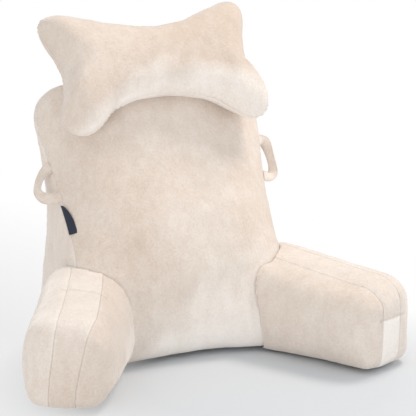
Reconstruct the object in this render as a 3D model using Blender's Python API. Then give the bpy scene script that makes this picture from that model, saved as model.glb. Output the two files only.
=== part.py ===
"""Reading pillow with arms, in metres, +Z up, its front facing -Y.

A leaning backrest cushion stands on the floor between two boxed arms that splay out towards
the front. A butterfly-shaped neck pillow lies against the backrest's upper front, a strap
handle is sewn in each side seam and a bare folded tag in the left one.
"""

import math

import bmesh
import bpy
import numpy as np

# ------------------------------------------------------------------ driving dimensions
CLEARANCE = 0.0004  # between one sewn piece and the next
TOP_SEAM = 0.466  # height of the backrest's top seam
TOP_CORNER = 0.076  # radius of its rounded upper corners
BOTTOM_SEAM = 0.008  # height of its seam along the floor
BACKREST_CROWN_FRONT = 0.066
BACKREST_CROWN_BACK = 0.050
FOOT_HOLLOW = 0.044  # how far the foot's front edge is drawn back between the arms
FOOT_ROUND = 0.020  # how far its back edge curves outwards
FOOT_HEIGHT = 0.24  # below this the panels are flatter and follow the foot's curves
FOOT_FLATTER = 0.35
BACKREST_SPINE = (0.14, 0.385, 0.0)  # heights of the ends of its fullest line, place across
BACKREST_TILT = math.radians(38)  # the swell points upwards above the waist
TILT_FROM, TILT_FULL = 0.12, 0.28  # heights between which it starts to
REAR_TILT_SHARE = 0.6
SHOULDER_FROM, SHOULDER_FULL = 0.34, 0.42  # heights between which the panels get fuller
BACKREST_SOFTNESS = 0.80
BACKREST_FULLER_LOW = 0.35  # taken from the softness at the floor
BACKREST_FULLER_HIGH = 0.22  # and from it over the shoulders
BACKREST_SAG = 0.014  # how far its lowest strip sags onto the floor

ARM_SPLAY = math.radians(25)  # from straight ahead, outwards
ARM_TIP = (0.303, -0.170)  # middle of the arm's front end, right side
ARM_RUN = 0.375  # from the tip to the end sewn under the backrest's side
ARM_TOP_FRONT = 0.160
ARM_TOP_BACK = 0.187
ARM_FOOT = (0.008, 0.003)  # height of its bottom seams, at the tip and at its back end
ARM_END_BOW = 0.012  # how far its front swells forward at half height
ARM_STRIP = 0.049  # width of the gusset strip over its top and down its front
ARM_CROWN_OUT = 0.057  # how far the outer side panel swells beyond the strip
ARM_CROWN_IN = (0.050, 0.067)  # the same for the inner one, at the tip and at the backrest
ARM_CROWN_RUN = (0.03, 0.20)  # distances from the tip between which that changes
ARM_SOFTNESS = (0.48, 0.56)  # of the outer and of the inner panel
ARM_FULLER_LOW = 0.22
ARM_SPINE = (0.07, ARM_RUN - 0.07, 0.075)  # ends of its fullest line along the arm, its height
ARM_CORNERS = (0.022, 0.042, 0.110, 0.020)  # radii: front low, front top, back top, back low
ARM_SAG = 0.004

NECK_CENTRE = (0.0, 0.200, 0.505)
NECK_LEAN = math.radians(42)  # back from upright
NECK_ROLL = math.radians(1.1)  # it lies a little askew, its right end higher
NECK_CROWN = 0.050
NECK_SOFTNESS = 0.60
NECK_SPINE = (-0.125, 0.125, 0.012)  # ends of its fullest line across, its height

STRAP_WIDTH = 0.022
STRAP_THICKNESS = 0.0034
STRAP_OUT = (0.95, 0.30, -0.06)  # the way its loop stands out: sideways, back, up
HANDLES = (
    # side, height of its upper and lower ends in the seam, how far the loop stands out
    ("left", -1, 0.337, 0.289, 0.042),
    ("right", 1, 0.350, 0.290, 0.024),
)

TAG_TOP = 0.276
TAG_BOTTOM = 0.232
TAG_REACH = 0.017
TAG_THICKNESS = 0.0014
TAG_SWING = (math.radians(76), math.radians(56))  # turned forward, at its top and bottom
TAG_TAPER = 0.6  # share of its reach that is lost at the top
TAG_OFF_SEAM = 0.002

# Side seams of the backrest: the front panel's edge leans back above the waist, and the
# wedge of side panel behind it narrows to nothing under the shoulder.
SIDE_SEAMS = (
    # height, half width, front edge y, back edge y
    (0.000, 0.205, -0.004, 0.292),
    (0.100, 0.202, 0.047, 0.280),
    (0.190, 0.198, 0.088, 0.260),
    (0.250, 0.199, 0.124, 0.247),
    (0.310, 0.206, 0.168, 0.238),
    (0.360, 0.212, 0.212, 0.237),
    (0.420, 0.218, 0.254, 0.264),
    (0.480, 0.211, 0.290, 0.298),
)

# Right half of the neck pillow's seam, from the middle of its upper edge round to the
# middle of its lower edge.
NECK_SEAM = (
    # out from the middle, up from the middle
    (0.000, 0.084),
    (0.070, 0.089),
    (0.125, 0.109),
    (0.166, 0.121),
    (0.193, 0.112),
    (0.197, 0.085),
    (0.182, 0.040),
    (0.176, 0.000),
    (0.184, -0.040),
    (0.200, -0.078),
    (0.202, -0.098),
    (0.186, -0.118),
    (0.158, -0.123),
    (0.130, -0.106),
    (0.100, -0.078),
    (0.052, -0.060),
    (0.000, -0.056),
)

# One strap loop, from its upper end in the seam to its lower one. It sags, and turns from
# lying along the seam (0 degrees) to facing outwards (90) and back.
STRAP_ROUTE = (
    # share of the way down between its ends, share of its reach, degrees
    (0.00, -0.35, 0),
    (0.00, 0.10, 5),
    (0.05, 0.45, 40),
    (0.28, 0.76, 75),
    (0.60, 0.98, 85),
    (0.90, 0.98, 60),
    (1.03, 0.62, 15),
    (1.01, 0.15, 0),
    (1.00, -0.35, 0),
)

PLUSH = (0.80, 0.70, 0.61, 1.0)
NAVY = (0.025, 0.035, 0.060, 1.0)

STRIP_BULGE = 0.007  # how far a strip swells out between its two seams
STRIP_TURN = 0.010  # how far from a seam it has turned level
SPINE_RADIUS = 0.005
PANEL_SHARES = (0.0, 0.05, 0.13, 0.24, 0.38, 0.55, 0.76, 1.0)  # of the way in from the seam
PRESSED_HEIGHT = 0.060  # the floor squashes a panel below this

# How finely each outline is divided.
ARC_STEPS = 9
CURVE_STEPS = 8
BACKREST_SIDE_ROWS = 16
BACKREST_POINTS = 72
ARM_POINTS = 56
NECK_POINTS = 80
STRAP_STEPS = 33
TAG_STEPS = 7


# ------------------------------------------------------------------------ small helpers
def clear_scene():
    for obj in list(bpy.data.objects):
        bpy.data.objects.remove(obj, do_unlink=True)


def material(name, colour, roughness):
    """A plain cloth finish."""
    made = bpy.data.materials.new(name)
    made.use_nodes = True
    shader = made.node_tree.nodes["Principled BSDF"]
    shader.inputs["Base Color"].default_value = colour
    shader.inputs["Roughness"].default_value = roughness
    shader.inputs["Metallic"].default_value = 0.0
    return made


def through(rows, at, column):
    """Reads a column of a table, smoothly between its rows (Hermite, averaged slopes)."""
    table = np.array(rows, float)
    known, value = table[:, 0], table[:, column]
    slope = np.gradient(value, known)
    at = np.clip(np.asarray(at, float), known[0], known[-1])
    row = np.clip(np.searchsorted(known, at) - 1, 0, len(known) - 2)
    step = known[row + 1] - known[row]
    t = (at - known[row]) / step
    return (
        value[row] * (2 * t**3 - 3 * t**2 + 1)
        + value[row + 1] * (3 * t**2 - 2 * t**3)
        + slope[row] * step * (t**3 - 2 * t**2 + t)
        + slope[row + 1] * step * (t**3 - t**2)
    )


def evenly(points, count):
    """The closed line through the points, read at count even steps along its length."""
    closed = np.vstack([points, points[:1]])
    along = np.concatenate([[0], np.cumsum(np.linalg.norm(np.diff(closed, axis=0), axis=1))])
    wanted = np.linspace(0, along[-1], count, endpoint=False)
    return np.stack([np.interp(wanted, along, closed[:, k]) for k in (0, 1)], axis=1)


def rounded(corners, count):
    """A closed outline of straight runs and arcs. Each corner gives its place and radius."""
    outline = []
    for index, (x, y, radius) in enumerate(corners):
        here = np.array((x, y))
        before = np.array(corners[index - 1][:2]) - here
        after = np.array(corners[(index + 1) % len(corners)][:2]) - here
        before /= np.linalg.norm(before)
        after /= np.linalg.norm(after)
        half = math.acos(float(before @ after)) / 2
        reach = radius / math.tan(half)
        middle = here + (before + after) / np.linalg.norm(before + after) * radius / math.sin(half)
        start = here + before * reach - middle
        turn = math.pi - 2 * half
        side = math.copysign(1, before[0] * after[1] - before[1] * after[0])
        for step in np.linspace(0, 1, ARC_STEPS):
            angle = -side * turn * step
            cos, sin = math.cos(angle), math.sin(angle)
            outline.append(middle + (start[0] * cos - start[1] * sin, start[0] * sin + start[1] * cos))
    return evenly(np.array(outline), count)


def swell(share, softness):
    """Height of a filled panel, 0 at its seam and 1 over its middle. A low softness is a
    panel that stands up steeply from its seam."""
    return (1 - (1 - share) ** 3) ** softness


def spine_of(outline, axis, low, high, across):
    """For each outline point the nearest one of a narrow oval, which is a panel's middle."""
    nearest = np.full_like(outline, across)
    nearest[:, axis] = np.clip(outline[:, axis], low, high)
    away = outline - nearest
    return nearest + away / np.linalg.norm(away, axis=1)[:, None] * SPINE_RADIUS


def starting_at(outline, scores):
    """The same outline, with its first point where the score is least."""
    return np.roll(outline, -int(np.argmin(scores)), axis=0)


def rising(value, low, high):
    """0 below low, 1 above high and even in between."""
    return np.clip((value - low) / (high - low), 0, 1)


def pressed(height):
    """1 at the floor, where a panel is squashed out over its seam, and 0 well above it."""
    return np.clip(1 - height / PRESSED_HEIGHT, 0, 1)


def skin(name, rings, slot):
    """One closed body: rings of points joined by quads, with a strip across each end."""
    mesh = bmesh.new()
    rows = [[mesh.verts.new(point) for point in ring] for ring in rings]
    count = len(rows[0])
    for near, far in zip(rows, rows[1:]):
        for i in range(count):
            j = (i + 1) % count
            mesh.faces.new((near[i], near[j], far[j], far[i]))
    for row in (rows[0], rows[-1]):
        for i in range(count // 2):
            corners = (row[i], row[i + 1], row[count - i - 1], row[-i % count])
            mesh.faces.new(list(dict.fromkeys(corners)))
    bmesh.ops.triangulate(mesh, faces=mesh.faces[:])
    bmesh.ops.recalc_face_normals(mesh, faces=mesh.faces[:])
    data = bpy.data.meshes.new(name)
    mesh.to_mesh(data)
    mesh.free()
    data.shade_smooth()
    obj = bpy.data.objects.new(name, data)
    obj.data.materials.append(slot)
    bpy.context.scene.collection.objects.link(obj)
    return obj


def settled(ring):
    """Presses a ring flat where it would reach below the floor."""
    ring = np.array(ring, float)
    ring[:, 2] = np.maximum(ring[:, 2], 0.0)
    return ring


def cushion(name, outline, spine, front, back, slot, sag):
    """A filled cushion of two swollen panels and the strip sewn between them.

    outline and spine are (n, 2) places on the panel, and each outline point has its spine
    point. front and back turn such places into points, at a share of the way inwards. The
    strip bulges a little all round, and sags onto the floor underneath.
    """
    inwards = [outline + (spine - outline) * share for share in PANEL_SHARES]
    rings = [front(place, share) for place, share in zip(inwards, PANEL_SHARES)][::-1]
    edge_front, edge_back = front(outline, 0.0), back(outline, 0.0)
    outwards = front(outline, 0.0) - front(inwards[1], 0.0)
    outwards /= np.linalg.norm(outwards, axis=1)[:, None]
    under = np.clip(-outwards[:, 2:] * 2.5 - 1.5, 0, 1)
    width = np.linalg.norm(edge_back - edge_front, axis=1)[:, None]
    near = np.minimum(STRIP_TURN / np.maximum(width, STRIP_TURN), 0.3)
    for across, share in ((near, 0.7), (near * 0 + 0.5, 1.0), (1 - near, 0.7)):
        middle = edge_front * (1 - across) + edge_back * across
        rings.append(middle + outwards * STRIP_BULGE * share + under * (0, 0, -sag))
    rings += [back(place, share) for place, share in zip(inwards, PANEL_SHARES)]
    return skin(name, [settled(ring) for ring in rings], slot)


def cut_clear(piece, cutter):
    """Cuts the piece back to the cutter, so that it ends against its neighbour."""
    cut = piece.modifiers.new("seat on " + cutter.name, "BOOLEAN")
    cut.operation = "DIFFERENCE"
    cut.solver = "EXACT"
    cut.object = cutter


def clearance_of(neighbour):
    """A slightly larger copy of a cushion, used only to cut what is sewn or laid against it."""
    cutter = bpy.data.objects.new(neighbour.name + "_clearance", neighbour.data)
    bpy.context.scene.collection.objects.link(cutter)
    grow = cutter.modifiers.new("grow", "DISPLACE")
    grow.mid_level = 0.0
    grow.strength = CLEARANCE
    cutter.hide_render = True
    cutter.display_type = "WIRE"
    return cutter


# ------------------------------------------------------------------------------ pieces
def backrest(slot):
    """Leaning cushion: the side panel is a wedge, and its foot is pressed flat."""
    low, high = BOTTOM_SEAM, TOP_SEAM
    rows = np.linspace(low, high - TOP_CORNER, BACKREST_SIDE_ROWS)
    right = [(float(through(SIDE_SEAMS, h, 1)), h, 0.001 if h > low else 0.02) for h in rows]
    shoulder = (float(through(SIDE_SEAMS, high, 1)), high, TOP_CORNER * 0.9)
    corners = right + [shoulder] + [(-shoulder[0],) + shoulder[1:]]
    corners += [(-x, h, radius) for x, h, radius in reversed(right)]
    outline = rounded(corners, BACKREST_POINTS)
    outline = starting_at(outline, np.abs(outline[:, 0]) - outline[:, 1])
    spine = spine_of(outline, 1, *BACKREST_SPINE)

    def panel(place, share, column, towards, crown):
        across, height = place.T
        from_middle = across / through(SIDE_SEAMS, height, 1)
        low_share = np.clip(1 - height / FOOT_HEIGHT, 0, 1)
        curve = FOOT_HOLLOW * low_share if column == 2 else FOOT_ROUND
        base = through(SIDE_SEAMS, height, column) + curve * low_share * (1 - from_middle**2)
        tilt = BACKREST_TILT * rising(height, TILT_FROM, TILT_FULL)
        if column == 3:
            tilt = tilt * REAR_TILT_SHARE
        softness = BACKREST_SOFTNESS - BACKREST_FULLER_LOW * pressed(height)
        softness -= BACKREST_FULLER_HIGH * rising(height, SHOULDER_FROM, SHOULDER_FULL)
        out = towards * crown * swell(share, softness) * (1 - FOOT_FLATTER * low_share)
        return np.stack([across, base + out * np.cos(tilt), height - out * np.sin(tilt)], axis=1)

    return cushion(
        "backrest",
        outline,
        spine,
        lambda place, share: panel(place, share, 2, -1, BACKREST_CROWN_FRONT),
        lambda place, share: panel(place, share, 3, 1, BACKREST_CROWN_BACK),
        slot,
        sag=BACKREST_SAG,
    )


def arm(name, side, slot, cutter):
    """Boxed arm, side -1 for the left one: level top, rounded front corner, full side panels."""
    places = (
        (0.0, ARM_FOOT[0]),
        (0.0, ARM_TOP_FRONT),
        (ARM_RUN, ARM_TOP_BACK),
        (ARM_RUN, ARM_FOOT[1]),
    )
    corners = [(*place, radius) for place, radius in zip(places, ARM_CORNERS)]
    outline = rounded(corners, ARM_POINTS)
    outline[:, 0] += ARM_END_BOW * (outline[:, 1] / ARM_TOP_FRONT - 0.5) ** 2
    outline = starting_at(outline, outline[:, 0] + np.abs(outline[:, 1] - ARM_TOP_FRONT / 2))
    spine = spine_of(outline, 0, *ARM_SPINE)
    back = np.array((-math.sin(ARM_SPLAY), math.cos(ARM_SPLAY)))
    across = np.array((math.cos(ARM_SPLAY), math.sin(ARM_SPLAY)))

    def panel(place, share, towards):
        inner = np.interp(place[:, :1], ARM_CROWN_RUN, ARM_CROWN_IN)
        crown = ARM_CROWN_OUT if towards > 0 else inner
        softness = ARM_SOFTNESS[0 if towards > 0 else 1] - ARM_FULLER_LOW * pressed(place[:, 1:])
        out = towards * (ARM_STRIP / 2 + crown * swell(share, softness))
        flat = np.array(ARM_TIP) + place[:, :1] * back + out * across
        return np.stack([side * flat[:, 0], flat[:, 1], place[:, 1]], axis=1)

    made = cushion(
        name,
        outline,
        spine,
        lambda place, share: panel(place, share, 1),
        lambda place, share: panel(place, share, -1),
        slot,
        sag=ARM_SAG,
    )
    cut_clear(made, cutter)
    return made


def neck_pillow(slot, cutter):
    """Butterfly pillow with four ears, pressed against the backrest and standing over its top."""
    half = np.array(NECK_SEAM)
    whole = np.vstack([half, (half * (-1, 1))[-2:0:-1]])
    fine = []
    for k in range(len(whole)):
        a, b, c, d = (whole[(k + step) % len(whole)] for step in (-1, 0, 1, 2))
        for t in np.linspace(0, 1, CURVE_STEPS, endpoint=False):
            bend = (2 * a - 5 * b + 4 * c - d) * t**2 + (3 * b - a - 3 * c + d) * t**3
            fine.append(b + (c - a) * t / 2 + bend / 2)
    outline = evenly(np.array(fine), NECK_POINTS)
    outline = starting_at(outline, np.abs(outline[:, 1]) - outline[:, 0])
    spine = spine_of(outline, 0, *NECK_SPINE)
    up = np.array((0, math.sin(NECK_LEAN), math.cos(NECK_LEAN)))
    out = np.array((0, -math.cos(NECK_LEAN), math.sin(NECK_LEAN)))
    along = np.array((1, 0, 0)) * math.cos(NECK_ROLL) + up * math.sin(NECK_ROLL)
    up = np.cross(out, along)

    def panel(place, share, towards):
        flat = np.array(NECK_CENTRE) + place[:, :1] * along + place[:, 1:] * up
        return flat + towards * out * NECK_CROWN * swell(share, NECK_SOFTNESS)

    made = cushion(
        "neck_pillow",
        outline,
        spine,
        lambda place, share: panel(place, max(share, 0.012), 1),
        lambda place, share: panel(place, max(share, 0.012), -1),
        slot,
        sag=0.0,
    )
    cut_clear(made, cutter)
    return made


def seam_point(height, side):
    """A point of the backrest's front side seam."""
    return np.array(
        (
            side * float(through(SIDE_SEAMS, height, 1)),
            float(through(SIDE_SEAMS, height, 2)),
            height,
        )
    )


def handle(name, side, upper, lower, reach, slot, cutter):
    """Flat strap loop sewn in the side seam at both ends, which turns to face outwards."""
    top, bottom = seam_point(upper, side), seam_point(lower, side)
    span = np.linalg.norm(bottom - top)
    down = (bottom - top) / span
    out = np.array(STRAP_OUT) * (side, 1, 1)
    out -= down * (out @ down)
    out /= np.linalg.norm(out)
    deep = np.cross(out, down)
    route = np.array([(k, *row) for k, row in enumerate(STRAP_ROUTE)], float)
    at = np.linspace(0, len(route) - 1, STRAP_STEPS)
    path = top + down * span * through(route, at, 1)[:, None]
    path = path + out * reach * through(route, at, 2)[:, None]
    made = []
    for point, tangent, turned in zip(path, np.gradient(path, axis=0), through(route, at, 3)):
        tangent /= np.linalg.norm(tangent)
        flat = np.cross(deep, tangent)
        turn = math.radians(float(turned))
        width = flat * math.cos(turn) + deep * math.sin(turn)
        face = np.cross(tangent, width)
        made.append(
            [
                point + width * STRAP_WIDTH / 2 * a + face * STRAP_THICKNESS / 2 * b
                for a, b in ((-1, -1), (0, -1), (1, -1), (1, 1), (0, 1), (-1, 1))
            ]
        )
    obj = skin(name, made, slot)
    cut_clear(obj, cutter)
    return obj


def side_tag(slot, cutter):
    """Bare folded tag sewn lengthwise in the left side seam, lying forward on the front panel."""
    rings = []
    for share in np.linspace(0, 1, TAG_STEPS):
        edge = seam_point(TAG_TOP + (TAG_BOTTOM - TAG_TOP) * share, -1)
        swing = TAG_SWING[0] + (TAG_SWING[1] - TAG_SWING[0]) * share
        out = np.array((math.cos(swing), -math.sin(swing), 0.0))
        normal = np.array((-math.sin(swing), -math.cos(swing), 0.0))
        reach = TAG_REACH * (1 - TAG_TAPER * (1 - share) ** 4)
        row = []
        for across, lift in ((0, 1), (0.5, 1), (1, 1), (1, 2), (0.5, 2), (0, 2)):
            row.append(edge + out * (TAG_OFF_SEAM + reach * across) + normal * TAG_THICKNESS * lift)
        rings.append(row)
    obj = skin("side_tag", rings, slot)
    cut_clear(obj, cutter)
    return obj


def stand_on_origin(objects):
    """Moves everything so that the box round it stands centred on the origin."""
    bpy.context.view_layer.update()
    graph = bpy.context.evaluated_depsgraph_get()
    corners = []
    for obj in objects:
        seen = obj.evaluated_get(graph)
        data = seen.to_mesh()
        corners += [tuple(vertex.co) for vertex in data.vertices]
        seen.to_mesh_clear()
    corners = np.array(corners)
    middle = (corners.min(axis=0) + corners.max(axis=0)) / 2
    for obj in bpy.context.scene.objects:
        obj.location = (-middle[0], -middle[1], -corners[:, 2].min())


def main():
    clear_scene()
    plush = material("plush", PLUSH, 0.9)
    webbing = material("webbing", PLUSH, 0.8)
    ribbon = material("ribbon", NAVY, 0.6)
    back = backrest(plush)
    cutter = clearance_of(back)
    made = [back, neck_pillow(plush, cutter), side_tag(ribbon, cutter)]
    for word, side, upper, lower, reach in HANDLES:
        made.append(arm("arm_" + word, side, plush, cutter))
        made.append(handle("handle_" + word, side, upper, lower, reach, webbing, cutter))
    stand_on_origin(made)


main()
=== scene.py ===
"""Looks of a plush reading pillow with arms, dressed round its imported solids.

Each cushion is drafted as its sewn cover, blown out between its seams by its filling and then
finished with the seams, puckers and brushed pile of short plush. Metres, +Z up, front at -Y.
"""

import math

import bmesh
import bpy
import numpy as np
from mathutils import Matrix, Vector, noise
from mathutils.bvhtree import BVHTree
from mathutils.kdtree import KDTree


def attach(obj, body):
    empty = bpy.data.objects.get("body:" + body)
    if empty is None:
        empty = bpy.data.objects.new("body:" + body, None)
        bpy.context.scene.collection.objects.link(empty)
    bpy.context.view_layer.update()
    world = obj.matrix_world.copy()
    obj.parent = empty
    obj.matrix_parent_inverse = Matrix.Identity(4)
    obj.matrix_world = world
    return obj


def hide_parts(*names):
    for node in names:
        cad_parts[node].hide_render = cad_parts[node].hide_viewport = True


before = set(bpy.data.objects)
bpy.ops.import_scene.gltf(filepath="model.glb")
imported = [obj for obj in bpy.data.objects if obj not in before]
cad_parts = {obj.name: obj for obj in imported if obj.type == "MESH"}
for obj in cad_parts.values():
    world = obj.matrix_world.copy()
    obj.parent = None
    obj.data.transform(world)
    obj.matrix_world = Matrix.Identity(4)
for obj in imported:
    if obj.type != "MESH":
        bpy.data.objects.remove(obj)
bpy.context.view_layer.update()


# ------------------------------------------------------------------ plush
# Short brushed plush of polyester fleece. Its pile is about 2 mm long and lies in patches,
# which show as soft lighter and darker clouds, and its tips catch light along every outline.
class Level:
    """A number that varies over a surface. Arithmetic on it adds Math nodes."""

    def __init__(self, finish, socket):
        self.finish, self.socket = finish, socket

    def worked(self, operation, *others, clamp=False):
        values = dict(enumerate((self, *others)))
        return self.finish.node("ShaderNodeMath", {"operation": operation, "use_clamp": clamp}, values)

    def __add__(self, other):
        return self.worked("ADD", other)

    __radd__ = __add__

    def __mul__(self, other):
        return self.worked("MULTIPLY", other)

    __rmul__ = __mul__

    def __sub__(self, other):
        return self.worked("SUBTRACT", other)

    def __rsub__(self, other):
        return self * -1 + other

    def kept(self):
        """The same, held between 0 and 1."""
        return self.worked("ADD", 0.0, clamp=True)

    def line(self, width):
        """1 where the number is 0, fading to 0 over the width to either side."""
        return (self * self * (-1 / width**2)).worked("EXPONENT")


class Finish:
    """One cloth's material: its nodes are added in order and end in the Principled shader."""

    def __init__(self, name, **constants):
        self.material = bpy.data.materials.new(name)
        self.material.use_nodes = True
        self.tree = self.material.node_tree
        self.shader = self.tree.nodes["Principled BSDF"]
        for socket, value in constants.items():
            self.shader.inputs[socket.replace("_", " ")].default_value = value

    def node(self, kind, settings=None, values=None, output=0):
        made = self.tree.nodes.new(kind)
        for name, value in (settings or {}).items():
            setattr(made, name, value)
        for socket, value in (values or {}).items():
            self.feed(made.inputs[socket], value)
        return Level(self, made.outputs[output])

    def feed(self, socket, value):
        if isinstance(value, Level):
            self.tree.links.new(value.socket, socket)
        else:
            socket.default_value = value

    def give(self, **values):
        for name, value in values.items():
            self.feed(self.shader.inputs[name.replace("_", " ")], value)

    def kept_number(self, name):
        """A number that the piece keeps for each of its points."""
        return self.node("ShaderNodeAttribute", {"attribute_name": name}, output="Fac")

    def between(self, share, low, high):
        """A colour that goes from low to high as the share goes from 0 to 1."""
        return self.node("ShaderNodeMix", {"data_type": "RGBA"}, {0: share, 6: low, 7: high}, output=2)


def clouds(cloth, place, scale, detail=2.0, roughness=0.5, stretch=(1, 1, 1)):
    """Noise about 0, positive where the pile stands up."""
    if stretch != (1, 1, 1):
        place = cloth.node("ShaderNodeMapping", values={"Vector": place, "Scale": stretch})
    values = {"Vector": place, "Scale": scale, "Detail": detail, "Roughness": roughness}
    return cloth.node("ShaderNodeTexNoise", values=values) - 0.5


PILE_CLOUDS = (
    # clouds a metre, detail, roughness, stretch, share of the tone, height in metres
    (13.0, 3.0, 0.55, (1.0, 1.0, 0.7), 0.36, 0.0030),  # patches
    (55.0, 3.0, 0.6, (1.0, 1.0, 0.45), 0.42, 0.0022),  # strokes
    (230.0, 3.0, 0.6, (1, 1, 1), 0.52, 0.0013),  # mottle
    (900.0, 2.0, 0.6, (1, 1, 1), 0.50, 0.0009),  # tips
)
TONE_SHARE = 0.44  # how far a piece's tone shift changes its colour; the shift holds how its pile lies and painted light and shade
SEAM_LINE, JOIN_LINE, RIDGE_HIGHLIGHT_LINE = 0.0011, 0.0024, 0.0034  # half widths of the painted shade in a seam's groove and in a join's, and of the painted highlight beside them
SEAM_UNEVEN = 0.0012
STRIP_EDGE = 900  # a strip's tone ends within about a millimetre of its seam


def plush(name, lying, pale_pile_and_light, brushed=1.0, sewn=True):
    """Plush with its colour where the pile lies flat, and the paler colour of standing pile and of painted
    light.

    A piece keeps its tone shift: how its pile lies, and painted light and shade. A sewn one
    also keeps its distance to its seams, its strip's tone shift, and where it meets its
    neighbours, where painted light lifts the shade.
    """
    cloth = Finish(
        name,
        Sheen_Weight=0.80,
        Sheen_Roughness=0.38,
        Sheen_Tint=(1.0, 0.965, 0.935, 1.0),
        Specular_IOR_Level=0.12,
    )
    place = cloth.node("ShaderNodeTexCoord", output="Object")
    patches, strokes, mottle, tips = (clouds(cloth, place, *row[:4]) for row in PILE_CLOUDS)
    shares, heights = zip(*(row[4:] for row in PILE_CLOUDS))
    pile = patches * (shares[0] * brushed) + strokes * (shares[1] * brushed)
    pile = pile + mottle * shares[2] + tips * shares[3]
    relief = patches * heights[0] + strokes * heights[1] + mottle * heights[2] + tips * heights[3]
    # paleness: clouds of the pile and the piece's tone shift, which carries painted light and shade as well
    # as the lay of its pile
    paleness = pile + cloth.kept_number("tone_shift") * TONE_SHARE + 0.44
    if sewn:
        seam, join, strip, painted_contact_light = map(cloth.kept_number, ("seam", "join", "strip", "contact_light"))
        # painted shade darkens each seam's and join's groove, and a painted highlight lightens the ridge of
        # pile beside it
        uneven = mottle * SEAM_UNEVEN
        on_strip = (0.5 - (seam + uneven) * STRIP_EDGE).kept()
        seam_groove_shade = (seam + uneven * 0.5).line(SEAM_LINE) + (join + uneven * 0.5).line(JOIN_LINE)
        seam_ridge_highlight = ((seam + uneven).line(RIDGE_HIGHLIGHT_LINE) + (join + uneven).line(RIDGE_HIGHLIGHT_LINE) - seam_groove_shade).kept()
        # painted light lifts the shade where the piece meets its neighbours
        paleness = paleness + strip * on_strip * TONE_SHARE + seam_ridge_highlight * 0.20 - seam_groove_shade * 0.24 + painted_contact_light * 0.16
        relief = relief + seam_ridge_highlight * 0.0007 - seam_groove_shade * 0.0011
    paleness = paleness.kept()
    bump = cloth.node("ShaderNodeBump", values={"Height": relief, "Distance": 1.0, "Strength": 0.55})
    cloth.give(Base_Color=cloth.between(paleness, lying, pale_pile_and_light), Roughness=0.93 - paleness * 0.12, Normal=bump)
    return cloth.material


PLUSH_LYING = (0.640, 0.535, 0.452, 1.0)
PLUSH_PALE = (0.955, 0.908, 0.860, 1.0)
cushion_plush = plush("cushion_plush", PLUSH_LYING, PLUSH_PALE)

# ------------------------------------------------------------------ backrest cushion
# The leaning cushion: a front and a rear panel with a strip between them, sewn along two
# seams all the way round and stuffed full. Its side panel is a wedge that narrows upwards,
# and its foot is pressed flat on the floor.
CREASE_Y = -0.07363  # where the arms' creases meet the floor, from which it is drafted
SIDE_SEAMS = (
    # height, half width, front seam y, rear seam y
    (0.000, 0.205, -0.004, 0.292),
    (0.100, 0.202, 0.047, 0.280),
    (0.190, 0.198, 0.092, 0.260),
    (0.250, 0.199, 0.134, 0.247),
    (0.310, 0.206, 0.178, 0.240),
    (0.360, 0.213, 0.214, 0.237),
    (0.420, 0.220, 0.254, 0.264),
    (0.480, 0.214, 0.290, 0.298),
)
HALF_WIDTH, FRONT_SEAM, REAR_SEAM = 1, 2, 3  # columns of that table
TOP_SEAM = 0.466
TOP_CORNER = 0.066
BOTTOM_SEAM = 0.008
BACKREST_CROWN_FRONT = 0.064
BACKREST_CROWN_REAR = 0.050
FOOT_HOLLOW = 0.044  # how far the foot's front edge is drawn back between the arms
FOOT_ROUND = 0.020  # how far its rear edge is rounded out there
FOOT_HEIGHT = 0.24  # up to which the foot has its own shape
FOOT_FLATTER = 0.35  # share of the crown that is lost towards the foot
BACKREST_TILT = math.radians(38)  # its front swells upwards by this much above the waist
REAR_TILT = 0.6  # share of that tilt by which its rear swells downwards there
TILT_RISES = (0.12, 0.28)  # heights between which the tilt sets in
TOP_FULLER = (0.34, 0.42)  # heights between which it gets fuller towards its top
BACKREST_SPINE = (0.14, 0.385, 0.0)  # its fullest line: lower end, upper end, place across
CUT_CLEARANCE = 0.0003  # between it and the cushions that are cut back to it
VOXEL_BACKREST = 0.0062
SEAM_POINTS = 900
PANEL_RINGS = 15
FILLING_STEPS = 20
HELD_AT_SEAM, HELD_AT_FLOOR, HELD_AT_CONTACT = 0.0045, 0.0015, 0.006
PALE_EDGE = (
    # height, and how far to the right its front starts to turn paler there
    (0.03, -0.105),
    (0.07, -0.045),
    (0.12, -0.010),
    (0.25, -0.045),
    (0.36, -0.055),
    (0.41, -0.050),
)


def read(rows, at, column):
    """Reads a column of a table, smoothly between its rows."""
    table = np.array(rows, float)
    known, value = table[:, 0], table[:, column]
    slope = np.gradient(value, known)
    at = np.clip(np.asarray(at, float), known[0], known[-1])
    row = np.clip(np.searchsorted(known, at) - 1, 0, len(known) - 2)
    step = known[row + 1] - known[row]
    t = (at - known[row]) / step
    return (
        value[row] * (2 * t**3 - 3 * t**2 + 1)
        + value[row + 1] * (3 * t**2 - 2 * t**3)
        + slope[row] * step * (t**3 - 2 * t**2 + t)
        + slope[row + 1] * step * (t**3 - t**2)
    )


def evenly(points, count):
    """The closed line through the points, read at even steps along its length."""
    closed = np.vstack([points, points[:1]])
    along = np.concatenate([[0], np.cumsum(np.linalg.norm(np.diff(closed, axis=0), axis=1))])
    wanted = np.linspace(0, along[-1], count, endpoint=False)
    return np.stack([np.interp(wanted, along, closed[:, k]) for k in range(points.shape[1])], axis=1)


ARC_POINTS = 17


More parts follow.
